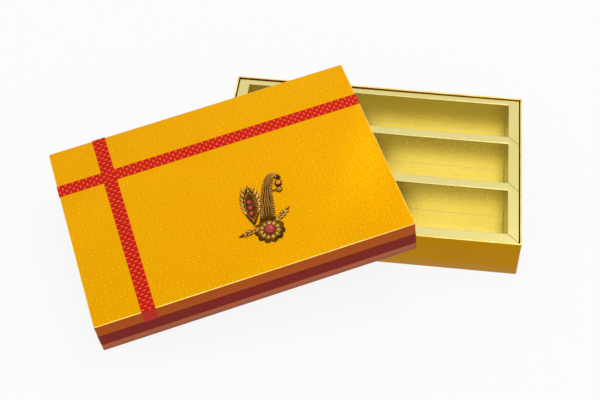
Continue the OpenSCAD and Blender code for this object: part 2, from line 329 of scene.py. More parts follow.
LID_TOP = Finish("lid_foil", rgb(232, 166, 4), rgb(220, 147, 0), roughness=0.28, cloud=0.5,
                 grain=0.6, bump=0.35, cloud_scale=11)
# The lid's walls are the same foil as its top; their darker red-orange is painted shade
LID_WALL_PAINTED_SHADE = Finish("lid_foil_wall_painted_shade", rgb(178, 82, 0), rgb(156, 66, 0), roughness=0.38, cloud=0.4,
                  bump=0.3)
TRAY_FOIL = Finish("tray_foil", rgb(186, 132, 10), rgb(160, 108, 4), roughness=0.3, cloud=0.3)
# Pale yellow foil on the lid's rounded edge and the tray's rim: a painted highlight where the edges catch
# the light
PAINTED_HIGHLIGHT_EDGE = Finish("painted_highlight_edge", rgb(255, 236, 150), rgb(238, 186, 50), roughness=0.25,
                   cloud=0.9, cloud_scale=70)
CARD = Finish("gold_card", rgb(223, 210, 137), rgb(215, 199, 119), metallic=0.9, roughness=0.24,
              cloud=0.4, grain=0.15, bump=0.05, cloud_scale=14)
BAND = Finish("red_band", rgb(128, 17, 0), rgb(106, 10, 0), roughness=0.36)
# A lighter copy of the ribbons' red foil, for the strands of one way of the weave: a painted sheen
RIBBON_PAINTED_SHEEN = Finish("ribbon_painted_sheen", rgb(255, 78, 44), rgb(238, 58, 32), roughness=0.4,
                       metallic=0.9)
RIBBON_DARK = Finish("ribbon_dark", rgb(192, 34, 12), rgb(164, 22, 6), roughness=0.4, metallic=0.9)
BRASS_DARK = Finish("antique_brass_dark", rgb(112, 70, 14), rgb(46, 28, 6), roughness=0.45,
                    cloud_scale=160, cloud=0.9, grain_scale=2500, bump=0.5)
BRASS = Finish("antique_brass", rgb(238, 182, 86), rgb(160, 106, 40), roughness=0.3,
               cloud_scale=260, cloud=0.8, grain_scale=2500, bump=0.4)
STONE = Finish("red_stone", rgb(206, 4, 26), rgb(130, 0, 10), metallic=0.0, roughness=0.1,
               coat=0.3, grain=0.0, cloud_scale=120)
AMBER = Finish("amber", rgb(248, 136, 0), rgb(214, 98, 0), metallic=0.0, roughness=0.2, coat=0.1,
               grain=0.0)
BOARD = Finish("grey_board", rgb(150, 142, 128), rgb(128, 120, 106), metallic=0.0, roughness=0.9,
               grain=1.0, bump=0.6)
LINING = Finish("lining_paper", rgb(238, 234, 222), rgb(226, 220, 204), metallic=0.0, roughness=0.8,
                grain=0.6, bump=0.3)
TAPE = Finish("kraft_tape", rgb(190, 158, 116), rgb(168, 136, 96), metallic=0.0, roughness=0.8,
              bump=0.4)
FINISHES = (LID_TOP, LID_WALL_PAINTED_SHADE, TRAY_FOIL, PAINTED_HIGHLIGHT_EDGE, CARD, BAND, RIBBON_PAINTED_SHEEN, RIBBON_DARK,
            BRASS_DARK, BRASS, STONE, AMBER, BOARD, LINING, TAPE)

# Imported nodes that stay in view. A node that isn't named here is grey board
NODE_FINISHES = {
    "tray_base_sheet": LINING,
    "tray_lining": LINING,
    "lid_lining": LINING,
    "tray_corner_tapes": TAPE,
    "lid_corner_tapes": TAPE,
    "insert_card": CARD,
    "lid_side_band": BAND,
    "lid_long_ribbon": RIBBON_DARK,
    "lid_short_ribbon": RIBBON_DARK,
    "lid_ornament": BRASS_DARK,
    "lid_stones": STONE,
    "lid_bead": AMBER,
}
REPLACED_NODES = ("tray_wrap", "lid_wrap")


@dataclass(frozen=True)
class LidPlace:
    """Where the lid lies, and the size of its top board, in metres."""

    matrix: Matrix
    board_l: float
    board_d: float

    @classmethod
    def from_board(cls, board: bpy.types.Object) -> "LidPlace":
        """Reads the place from the lid's top board, a thin block.

        Args:
            board: The board's packed object.

        Returns:
            The place, whose frame has its origin in the middle of the board's upper face.
        """
        points = np.unique(np.round([list(v.co) for v in board.data.vertices], 7), axis=0)
        middle = (points.max(axis=0) + points.min(axis=0)) / 2
        axes = np.linalg.eigh(np.cov((points - middle).T))[1]
        up = axes[:, 0] * math.copysign(1, axes[2, 0])
        along = axes[:, 2] * math.copysign(1, axes[0, 2])
        back = np.cross(up, along)
        board_l, board_d, board_t = (float(np.ptp(points @ axis)) for axis in (along, back, up))
        origin = middle + up * board_t / 2
        matrix = Matrix.Identity(4)
        for column, axis in enumerate((along, back, up, origin)):
            for row in range(3):
                matrix[row][column] = axis[row]
        return cls(matrix, board_l, board_d)


@dataclass(frozen=True)
class Ring:
    """Rounded rectangle that a wrap passes through."""

    length: float
    depth: float
    radius: float
    level: float


@dataclass
class Wrap:
    """Foil paper over a box, as rings in the order in which its faces point outwards.

    The rings rise and fall a little, by the wrinkle times two slow waves round the box.
    """

    name: str
    rings: list
    corner_steps: int = 5
    long_steps: int = 60
    short_steps: int = 42
    wrinkle: float = 0.0
    wave: float = 0.37
    wave_swing: float = 1.7
    swing_wave: float = 0.11
    ring_wave: float = 0.9
    ring_drift: float = 0.05

    def outline(self, ring: Ring) -> list:
        """Works out the points round one ring.

        Args:
            ring: The ring.

        Returns:
            The points, from its front right corner, against the clock.
        """
        radius = ring.radius
        half_l, half_d = ring.length / 2 - radius, ring.depth / 2 - radius
        centres = ((half_l, -half_d), (half_l, half_d), (-half_l, half_d), (-half_l, -half_d))
        points = []
        for index, centre in enumerate(centres):
            start = -90 + 90 * index
            for step in range(self.corner_steps + 1):
                angle = math.radians(start + 90 * step / self.corner_steps)
                points.append(on_circle(centre, radius, angle))
            last = points[-1]
            target = on_circle(centres[(index + 1) % 4], radius, math.radians(start + 90))
            steps = self.short_steps if index % 2 == 0 else self.long_steps
            points += [point_on_way(last, target, k, steps) for k in range(1, steps)]
        return points

    def lift(self, index: int, number: int) -> float:
        """Height that the wrinkle adds to a point of a ring.

        Args:
            index: Number of the point round its ring.
            number: Number of the ring.

        Returns:
            The height.
        """
        round_box = math.sin(self.wave * index + self.wave_swing * math.sin(self.swing_wave * index))
        return self.wrinkle * round_box * math.sin(self.ring_wave * number + self.ring_drift * index)

    def build(self, place: Matrix | None = None, flat_ends: bool = False) -> bpy.types.Object:
        """Builds the wrap.

        Args:
            place: Frame of the wrap, or None for the shared frame.
            flat_ends: Whether a flat sheet closes the first and the last ring. Otherwise
                the last ring joins the first.

        Returns:
            The piece.
        """
        points = []
        faces = []
        for number, ring in enumerate(self.rings):
            for index, (x, y) in enumerate(self.outline(ring)):
                points.append((x, y, ring.level + self.lift(index, number)))
        count = len(points) // len(self.rings)
        spans = len(self.rings) - 1 if flat_ends else len(self.rings)
        for number in range(spans):
            low = number * count
            high = ((number + 1) % len(self.rings)) * count
            for index in range(count):
                following = (index + 1) % count
                faces.append((low + index, low + following, high + following, high + index))
        if flat_ends:
            faces.append(tuple(reversed(range(count))))
            faces.append(tuple(range(len(points) - count, len(points))))
        piece = new_piece(self.name, points, faces, place)
        smooth_soft_edges(piece)
        return piece


class FormRows(Links):
    """Geometry node tree that sets small forms in rows and makes them real."""

    def __init__(self, name: str, inputs: dict) -> None:
        """Starts a tree with named inputs.

        Args:
            name: Name of the tree.
            inputs: For each input, its kind of value and the value.
        """
        super().__init__(bpy.data.node_groups.new(name, "GeometryNodeTree"))
        interface = self.tree.interface
        interface.new_socket("Geometry", in_out="INPUT", socket_type="NodeSocketGeometry")
        interface.new_socket("Geometry", in_out="OUTPUT", socket_type="NodeSocketGeometry")
        self.values = {}
        for key, (kind, value) in inputs.items():
            socket = interface.new_socket(key, in_out="INPUT", socket_type="NodeSocket" + kind)
            self.values[socket.identifier] = value
        self.given = self.node("NodeGroupInput").outputs
        self.result = self.node("NodeGroupOutput").inputs

    def grid(self, size: tuple, count: tuple) -> Socket:
        """Adds a grid of points.

        Args:
            size: Its length and its depth.
            count: Its points along both.

        Returns:
            The grid.
        """
        grid = self.node("GeometryNodeMeshGrid")
        for value, name in zip(size + count, ("Size X", "Size Y", "Vertices X", "Vertices Y")):
            self.join(value, grid.inputs[name])
        return grid.outputs["Mesh"]

    def ball(self, segments: int, rings: int, radius: Value) -> Socket:
        """Adds a ball with few faces.

        Args:
            segments: Faces round it.
            rings: Faces from pole to pole.
            radius: Its radius.

        Returns:
            The ball.
        """
        ball = self.node("GeometryNodeMeshUVSphere")
        ball.inputs["Segments"].default_value = segments
        ball.inputs["Rings"].default_value = rings
        self.join(radius, ball.inputs["Radius"])
        return ball.outputs["Mesh"]

    def chance(self, index: Socket, low: Value, high: Value, seed: int) -> Socket:
        """Adds a random vector or number for each point.

        Args:
            index: Number of the point.
            low: Least value.
            high: Greatest value.
            seed: Seed of the draw.

        Returns:
            The random value.
        """
        is_vector = isinstance(low, tuple)
        draw = self.node("FunctionNodeRandomValue", data_type="FLOAT_VECTOR" if is_vector else "FLOAT")
        first_input = 0 if is_vector else 2
        draw.inputs[first_input].default_value = low
        draw.inputs[first_input + 1].default_value = high
        draw.inputs["Seed"].default_value = seed
        self.join(index, draw.inputs["ID"])
        return draw.outputs[0 if is_vector else 1]

    def set_forms(self, points: Socket, form: Socket, material: Socket, **inputs: Value) -> Socket:
        """Sets a form on points, makes the forms real and gives them a material.

        Args:
            points: The points.
            form: The form.
            material: Material of the forms.
            inputs: Further inputs of the setting, such as Scale.

        Returns:
            The forms.
        """
        put = self.node("GeometryNodeInstanceOnPoints")
        for name, value in {"Points": points, "Instance": form, **inputs}.items():
            self.join(value, put.inputs[name])
        real = self.node("GeometryNodeRealizeInstances")
        self.join(put.outputs[0], real.inputs[0])
        painted = self.node("GeometryNodeSetMaterial")
        self.join(real.outputs[0], painted.inputs["Geometry"])
        self.join(material, painted.inputs["Material"])
        return painted.outputs[0]

    def end(self, geometry: Socket) -> None:
        """Smooths the forms and ends the tree with them.

        Args:
            geometry: The forms.
        """
        smooth = self.node("GeometryNodeSetShadeSmooth")
        self.join(geometry, smooth.inputs[0])
        self.join(smooth.outputs[0], self.result[0])

    def mesh(self, name: str, place: Matrix, start: bpy.types.Mesh | None = None) -> bpy.types.Object:
        """Runs the tree on a mesh and keeps its result as a plain mesh.

        Args:
            name: Name of the new piece.
            place: Frame of the piece.
            start: Mesh that the tree is given, or None for an empty one.

        Returns:
            The piece, with no modifier.
        """
        holder = bpy.data.objects.new(name, start or bpy.data.meshes.new(name))
        bpy.context.scene.collection.objects.link(holder)
        modifier = holder.modifiers.new("rows", "NODES")
        modifier.node_group = self.tree
        for identifier, value in self.values.items():
            modifier[identifier] = value
        depsgraph = bpy.context.evaluated_depsgraph_get()
        mesh = bpy.data.meshes.new_from_object(holder.evaluated_get(depsgraph))
        holder.modifiers.remove(modifier)
        holder.data = mesh
        mesh.transform(place)
        mesh.update()
        return holder


@dataclass(kw_only=True)
class CoveredBox:
    """Grey board box covered with foil paper that turns in over its rim.

    board and paper are thicknesses, and turn_in is how far the turned-in paper reaches.
    """

    board: float = 1.0
    paper: float = 0.2
    corner: float = 1.4
    turn_in: float = 15.0
    fold_r: float = 0.3
    lip_r: float = 0.2

    def insets(self) -> tuple:
        """Twice the depth of the paper's back, of the wall's inside and of the turned-in face."""
        wall = 2 * (self.board + self.paper)
        return (2 * self.paper, wall, wall + 2 * self.paper)

    def rings(self, length: float, depth: float, profile: list) -> list:
        """Turns a profile of the paper into rings round the box.

        Args:
            length: Outer length of the box.
            depth: Outer depth of the box.
            profile: For each ring, what it is shorter than the box, its radius and its level.

        Returns:
            The rings.
        """
        return [Ring(length - inset, depth - inset, radius, level) for inset, radius, level in profile]


@dataclass(kw_only=True)
class Lid(CoveredBox):
    """The lid's foil with its embossing, and the weave of its ribbons.

    Levels are heights above the upper face of the top board. top_slope and rim_round are a
    width, both sides together, and a height. wall_shares are parts of the wall's height, and
    strand_shape parts of a cell of the weave. top_rise and edge_rise are the least upright
    part of a face's normal on the top and on the rounded edge. drop_turn is in radians.
    """

    place: LidPlace
    wall_h: float = 34.5
    edge: float = 0.65
    edge_steps: int = 5
    top_slope: tuple = (6, 0.3)
    rim_round: tuple = (0.5, 0.25)
    outer_rim_rise: float = 0.3
    outer_rim_r: float = 1.2
    round_lip_r: float = 0.4
    wall_shares: tuple = (0.33, 0.66)
    wrinkle: float = 0.03
    top_rise: float = 0.97
    edge_rise: float = 0.05
    ribbon_w: float = 11.2
    ribbon_t: float = 0.15
    short_ribbon_x: float = 43.0
    long_ribbon_y: float = 41.5
    drop_field_margin: float = 5
    drop_pitch: float = 4.3
    drop_r: float = 1.35
    drop_h: float = 0.45
    drop_sink: float = 0.25
    drop_shape: tuple = (0.75, 1.25)
    drop_shift: float = 0.9
    drop_turn: float = 0.9
    drop_faces: tuple = (8, 6)
    shift_seed: int = 4
    turn_seed: int = 9
    ribbon_margin: float = 1.4
    weave_cells: int = 4
    strand_shape: tuple = (0.62, 0.98)
    strand_swell: float = 1.12
    strand_h: float = 0.32
    strand_faces: tuple = (10, 6)

    def __post_init__(self) -> None:
        """Works out the lid's outer size from its top board."""
        self.length = self.place.board_l / MM + 2 * (self.board + self.paper)
        self.depth = self.place.board_d / MM + 2 * (self.board + self.paper)
        self.top = self.paper
        self.rim = self.top - self.wall_h
        self.long_y = self.depth / 2 - self.long_ribbon_y
        self.short_x = self.short_ribbon_x - self.length / 2

    def foil(self) -> bpy.types.Object:
        """Makes the foil paper over the top and the walls, turned in over the rim.

        Returns:
            The piece, before its finish.
        """
        back, wall, lip = self.insets()
        back_top, back_rim = self.top - self.paper, self.rim + self.paper
        round_w, round_h = self.rim_round
        profile = [
            (back + self.top_slope[0], self.corner, back_top),
            (back, self.corner - self.paper, back_top - self.top_slope[1]),
            (back, self.corner - self.paper, back_rim),
            (wall, self.fold_r, back_rim),
            (wall, self.fold_r, self.rim + self.turn_in),
            (lip, self.lip_r, self.rim + self.turn_in),
            (lip, self.lip_r, self.rim + round_h),
            (lip - round_w, self.round_lip_r, self.rim),
            (round_w, self.outer_rim_r, self.rim),
            (0, self.corner, self.rim + self.outer_rim_rise),
        ]
        profile += [(0, self.corner, self.rim + share * self.wall_h) for share in self.wall_shares]
        for step in range(self.edge_steps + 1):
            angle = math.radians(90 * step / self.edge_steps)
            level = self.top - self.edge + self.edge * math.sin(angle)
            profile.append((2 * self.edge * (1 - math.cos(angle)), self.corner, level))
        rings = self.rings(self.length, self.depth, profile)
        return Wrap("lid_foil", rings, wrinkle=self.wrinkle).build(self.place.matrix, flat_ends=True)

    def dress_foil(self, foil: bpy.types.Object, finishes: dict) -> None:
        """Gives the foil its finish on the top, a darker red-orange that is painted shade on the walls,
        and a pale yellow that is a painted highlight on the rounded edge.

        Args:
            foil: The foil.
            finishes: Materials by finish name.
        """
        order = (LID_TOP, LID_WALL_PAINTED_SHADE, PAINTED_HIGHLIGHT_EDGE)
        for finish in order:
            foil.data.materials.append(finishes[finish.name])
        up = self.place.matrix.to_3x3() @ Vector((0, 0, 1))
        # Rounded edge faces get the pale yellow painted highlight, and wall faces the darker red-orange
        # painted shade
        for face in foil.data.polygons:
            rise = face.normal.dot(up)
            if rise > self.top_rise:
                finish = LID_TOP
            elif rise > self.edge_rise:
                finish = PAINTED_HIGHLIGHT_EDGE
            else:
                finish = LID_WALL_PAINTED_SHADE
            face.material_index = order.index(finish)

    def emboss(self, material: bpy.types.Material) -> bpy.types.Object:
        """Makes the raised drops of the foil, clear of the ribbons.

        Those below the bird stay inside its plate.

        Args:
            material: Material of the drops.

        Returns:
            The piece.
        """
        rows = FormRows("foil_emboss", {
            "Length": ("Float", (self.length - self.drop_field_margin) * MM),
            "Depth": ("Float", (self.depth - self.drop_field_margin) * MM),
            "Pitch": ("Float", self.drop_pitch * MM),
            "Drop Radius": ("Float", self.drop_r * MM),
            "Drop Height": ("Float", self.drop_h * MM),
            "Long Ribbon": ("Float", self.long_y * MM),
            "Short Ribbon": ("Float", self.short_x * MM),
            "Ribbon Clearance": ("Float", (self.ribbon_w / 2 + self.ribbon_margin) * MM),
            "Material": ("Material", material),
        })
        given = rows.given
        count = tuple(rows.math("FLOOR", rows.math("DIVIDE", given[size], given["Pitch"]))
                      for size in ("Length", "Depth"))
        grid = rows.grid((given["Length"], given["Depth"]), count)
        index = rows.node("GeometryNodeInputIndex").outputs[0]
        shift = self.drop_shift * MM
        moved = rows.node("GeometryNodeSetPosition")
        rows.join(grid, moved.inputs["Geometry"])
        rows.join(rows.chance(index, (-shift, -shift, 0), (shift, shift, 0), self.shift_seed),
                  moved.inputs["Offset"])
        cut = rows.node("GeometryNodeDeleteGeometry", domain="POINT")
        rows.join(moved.outputs[0], cut.inputs["Geometry"])
        rows.join(self.under_ribbon(rows), cut.inputs["Selection"])
        turn = rows.chance(index, -self.drop_turn, self.drop_turn, self.turn_seed)
        flatness = rows.math("DIVIDE", given["Drop Height"], given["Drop Radius"])
        drop = rows.ball(*self.drop_faces, given["Drop Radius"])
        rows.end(rows.set_forms(cut.outputs[0], drop, given["Material"], Rotation=rows.vector(0, 0, turn),
                                Scale=rows.vector(*self.drop_shape, flatness)))
        level = Matrix.Translation((0, 0, (self.top - self.drop_sink) * MM))
        return rows.mesh("foil_emboss", self.place.matrix @ level)

    def under_ribbon(self, rows: FormRows) -> Socket:
        """Finds the points that a ribbon covers.

        Args:
            rows: Tree of the drops.

        Returns:
            1 at a point below a ribbon, otherwise 0.
        """
        parts = rows.node("ShaderNodeSeparateXYZ")
        rows.join(rows.node("GeometryNodeInputPosition").outputs[0], parts.inputs[0])
        covered = []
        for axis, name in ((1, "Long Ribbon"), (0, "Short Ribbon")):
            away = rows.math("ABSOLUTE", rows.math("SUBTRACT", parts.outputs[axis], rows.given[name]))
            covered.append(rows.math("LESS_THAN", away, rows.given["Ribbon Clearance"]))
        return rows.math("MAXIMUM", *covered)

    def weave(self, name: str, length: float, turn: float, centre: tuple, lift: float,
              finishes: dict) -> bpy.types.Object:
        """Makes the basket weave on one flat stretch of a ribbon.

        Args:
            name: Name of the piece.
            length: Length of the stretch.
            turn: Turn of the stretch about the lid's upright axis, in degrees.
            centre: Middle of the stretch.
            lift: Height of the ribbon's face above the lid's top.
            finishes: Materials by finish name.

        Returns:
            The piece.
        """
        cell = self.ribbon_w / self.weave_cells
        rows = FormRows("ribbon_weave", {
            "Cells Along": ("Int", int(length / cell)),
            "Cells Across": ("Int", self.weave_cells),
            "Cell": ("Float", cell * MM),
            "Length": ("Float", length * MM),
            "Height": ("Float", self.strand_h * MM),
            "Bright": ("Material", finishes[RIBBON_PAINTED_SHEEN.name]),
            "Dark": ("Material", finishes[RIBBON_DARK.name]),
        })
        given = rows.given
        size = (rows.math("SUBTRACT", given["Length"], given["Cell"]),
                rows.math("MULTIPLY", given["Cell"], self.weave_cells - 1))
        grid = rows.grid(size, (given["Cells Along"], given["Cells Across"]))
        index = rows.node("GeometryNodeInputIndex").outputs[0]
        column = rows.math("FLOOR", rows.math("DIVIDE", index, given["Cells Across"]))
        row = rows.math("MODULO", index, given["Cells Across"])
        is_odd = rows.math("MODULO", rows.math("ADD", column, row), 2.0)
        is_even = rows.math("SUBTRACT", 1.0, is_odd)
        joined = rows.node("GeometryNodeJoinGeometry")
        # Strands of one way get the lighter red, a painted sheen, and the others the ribbons' own red
        for key, chosen, shape in (("Bright", is_odd, self.strand_shape),
                                   ("Dark", is_even, self.strand_shape[::-1])):
            sides = (rows.math("MULTIPLY", given["Cell"], share * self.strand_swell) for share in shape)
            # The ball's diameter is 1, so that the scale is the strand's size
            strands = rows.set_forms(grid, rows.ball(*self.strand_faces, 0.5), given[key],
                                     Selection=chosen, Scale=rows.vector(*sides, given["Height"]))
            rows.join(strands, joined.inputs[0])
        rows.end(joined.outputs[0])
        shift = Matrix.Translation(Vector((*centre, self.top + lift)) * MM)
        return rows.mesh(name, self.place.matrix @ shift @ Matrix.Rotation(math.radians(turn), 4, "Z"))

    def weaves(self, finishes: dict) -> list:
        """Makes the weave of both ribbons, the long one on both sides of the short one.

        Args:
            finishes: Materials by finish name.

        Returns:
            The three stretches.
        """
        left = self.short_ribbon_x - self.ribbon_w / 2
        right = self.length - self.short_ribbon_x - self.ribbon_w / 2
        left_at = (-self.length / 2 + left / 2, self.long_y)
        right_at = (self.length / 2 - right / 2, self.long_y)
        short_at = (self.short_x, 0)
        return [
            self.weave("long_ribbon_weave_left", left, 0, left_at, self.ribbon_t, finishes),
            self.weave("long_ribbon_weave_right", right, 0, right_at, self.ribbon_t, finishes),
            self.weave("short_ribbon_weave", self.depth, 90, short_at, 2 * self.ribbon_t, finishes),
        ]

    def build(self, finishes: dict) -> list:
        """Builds the lid's pieces and puts them on the lid's body.

        Args:
            finishes: Materials by finish name.

        Returns:
            The pieces.
        """
        foil = self.foil()
        self.dress_foil(foil, finishes)
        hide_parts("lid_wrap")
        pieces = [foil, self.emboss(finishes[LID_TOP.name])] + self.weaves(finishes)
        for piece in pieces:
            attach(piece, Body.LID.value)
        return pieces


@dataclass
class Relief:
    """Raised forms on the bird's flat plate, and the beads that are set on it.

    Levels are heights above the lid's top: that of the plate's face and that of the raised
    body of the neck and of the wing.
    """

    plate: float = 0.6
    body: float = 1.3
    wire_end: float = 0.35
    points: list = field(default_factory=list)
    faces: list = field(default_factory=list)
    beads: list = field(default_factory=list)

    def close(self, first: int, around: int, rings: int) -> None:
        """Adds the faces between rings that rise one above the other.

        Args:
            first: Number of the first ring's first point.
            around: Points in a ring.
            rings: How many rings there are.
        """
        for ring in range(rings - 1):
            low, high = first + ring * around, first + (ring + 1) * around
            for step in range(around):
                following = (step + 1) % around
                self.faces.append((low + step, low + following, high + following, high + step))

    def dome(self, at: tuple, size: tuple, turn: float, around: int = 12, rings: int = 4) -> None:
        """Adds a closed dome.

        Args:
            at: Middle of its foot.
            size: Half length, half width and height.
            turn: Turn of its length from the x axis, in degrees.
            around: Faces round it.
            rings: Faces from its foot to its top.
        """
        first = len(self.points)
        cosine, sine = math.cos(math.radians(turn)), math.sin(math.radians(turn))
        for ring in range(rings):
            angle = math.radians(90 * ring / rings)
            for step in range(around):
                way = 2 * math.pi * step / around
                x = size[0] * math.cos(angle) * math.cos(way)
                y = size[1] * math.cos(angle) * math.sin(way)
                self.points.append((at[0] + x * cosine - y * sine, at[1] + x * sine + y * cosine,
                                    at[2] + size[2] * math.sin(angle)))
        self.points.append((at[0], at[1], at[2] + size[2]))
        self.close(first, around, rings)
        last = first + (rings - 1) * around
        for step in range(around):
            self.faces.append((last + step, last + (step + 1) % around, len(self.points) - 1))
        self.faces.append(tuple(reversed(range(first, first + around))))

    def wire(self, path: list, level: float, size: tuple, around: int = 6) -> None:
        """Adds a closed wire that lies along a path and thins at both ends.

        Args:
            path: Points of its middle line.
            level: Height of its middle line.
            size: Its width and its height.
            around: Faces round it.
        """
        first = len(self.points)
        last = len(path) - 1
        for number, point in enumerate(path):
            before, after = path[max(number - 1, 0)], path[min(number + 1, last)]
            way = Vector((after[0] - before[0], after[1] - before[1]))
            way.normalize()
            thin = self.wire_end if number in (0, last) else 1.0
            for step in range(around):
                angle = 2 * math.pi * step / around
                across = size[0] / 2 * thin * math.cos(angle)
                self.points.append((point[0] - way.y * across, point[1] + way.x * across,
                                    level + size[1] / 2 * math.sin(angle) * thin))
        for number in range(last):
            low, high = first + number * around, first + (number + 1) * around
            for step in range(around):
                following = (step + 1) % around
                self.faces.append((low + step, high + step, high + following, low + following))
        self.faces.append(tuple(range(first, first + around)))
        self.faces.append(tuple(reversed(range(len(self.points) - around, len(self.points)))))

    def bead(self, at: tuple, level: float, radius: float) -> None:
        """Adds a bead with its middle at a place and a level."""
        self.beads.append((at[0], at[1], level, radius))

    def crown(self, at: tuple, radius: float, count: int, level: float, bead_r: float) -> None:
        """Adds a ring of beads.

        Args:
            at: Middle of the ring.
            radius: Radius of the ring.
            count: How many beads it has.
            level: Height of the beads' middles.
            bead_r: Radius of a bead.
        """
        for k in range(count):
            self.bead(on_circle(at, radius, 2 * math.pi * k / count), level, bead_r)


@dataclass(frozen=True)
class Axis:
    """Straight middle line of a wing or a sprig."""

    start: Vector
    way: Vector
    side: Vector
    length: float
    heading: float

    @classmethod
    def between(cls, start: tuple, end: tuple) -> "Axis":
        """Lays the line from a start to an end.

        Args:
            start: The start.
            end: The end.

        Returns:
            The line, with its side to the right of its way and its heading in degrees.
        """
        way = (Vector(end) - Vector(start)).normalized()
        length = (Vector(end) - Vector(start)).length
        heading = math.degrees(math.atan2(way.y, way.x))
        return cls(Vector(start), way, Vector((way.y, -way.x)), length, heading)

    def at(self, share: float) -> Vector:
        """Point at a share of the line's length."""
        return self.start + self.way * self.length * share


@dataclass(frozen=True)
class Neck:
    """Long neck: a curve with flowing lines between two ribbed and beaded edges.

    The curve has four Bezier points, from the foot to the head, and widths are those of its
    ends. A span is where a wire starts and how far it reaches, in parts of the curve. lines
    and edges are parts of the half width.
    """

    curve: tuple = ((2.6, -12), (0.5, 10), (-3, 40), (10.2, 28.5))
    widths: tuple = (13.0, 3.4)
    wire_steps: int = 40
    lines: tuple = (-0.42, -0.14, 0.14, 0.42)
    line_span: tuple = (0.04, 0.9)
    line_sway: float = 0.25
    line_wave: float = 0.45
    line_size: tuple = (0.55, 0.7)
    edges: tuple = (-0.82, 0.82)
    edge_span: tuple = (0.02, 0.95)
    edge_draw_in: float = 0.8
    edge_sink: float = 0.15
    edge_size: tuple = (0.35, 0.7)
    rib_gap: float = 2.0
    rib_end: float = 0.98
    rib_search_steps: int = 400
    rib_size: tuple = (1.1, 0.55, 1.05)
    rib_share: float = 0.5
    rib_sink: float = 0.45
    bead_rise: float = 0.05
    bead_r: float = 0.4

    def at(self, share: float, across: float) -> Vector:
        """Finds a place on the neck.

        Args:
            share: Share of its curve, from its foot.
            across: Share of its half width, to the right of its curve.

        Returns:
            The place.
        """
        a, b, c, d = (Vector(point) for point in self.curve)
        rest = 1 - share
        point = a * rest ** 3 + b * 3 * rest ** 2 * share + c * 3 * rest * share ** 2 + d * share ** 3
        way = (b - a) * rest ** 2 + (c - b) * 2 * rest * share + (d - c) * share ** 2
        way.normalize()
        half = (self.widths[0] + (self.widths[1] - self.widths[0]) * share) / 2
        return Vector((point.x + way.y * half * across, point.y - way.x * half * across))

    def along(self, span: tuple, step: int) -> float:
        """Share of the curve at a step of a wire that starts and reaches as its span says."""
        return span[0] + span[1] * step / self.wire_steps

    def add_to(self, relief: Relief) -> None:
        """Adds the lines, the edges and their ribs.

        Args:
            relief: The relief.
        """
        steps = range(self.wire_steps + 1)
        for across in self.lines:
            sways = [across * (1 + self.line_sway * math.sin(self.line_wave * k)) for k in steps]
            path = [self.at(self.along(self.line_span, k), sways[k]) for k in steps]
            relief.wire(path, relief.body, self.line_size)
        for across in self.edges:
            path = [self.at(self.along(self.edge_span, k), across * self.edge_draw_in) for k in steps]
            relief.wire(path, relief.body - self.edge_sink, self.edge_size)
            self.add_ribs(relief, across)

    def add_ribs(self, relief: Relief, across: float) -> None:
        """Adds a row of ribs, each with a bead, at equal gaps along an edge.

        Args:
            relief: The relief.
            across: Share of the half width at which the row runs.
        """
        travelled = 0.0
        before = self.at(0.0, across)
        for k in range(1, self.rib_search_steps + 1):
            share = k / self.rib_search_steps * self.rib_end
            point = self.at(share, across)
            travelled += (point - before).length
            before = point
            if travelled > self.rib_gap:
                travelled = 0.0
                outward = point - self.at(share, 0)
                turn = math.degrees(math.atan2(outward.y, outward.x))
                size = (min(self.rib_size[0], self.rib_share * outward.length), *self.rib_size[1:])
                relief.dome((*point, relief.body - self.rib_sink), size, turn)
                relief.bead(point, relief.body + self.bead_rise, self.bead_r)


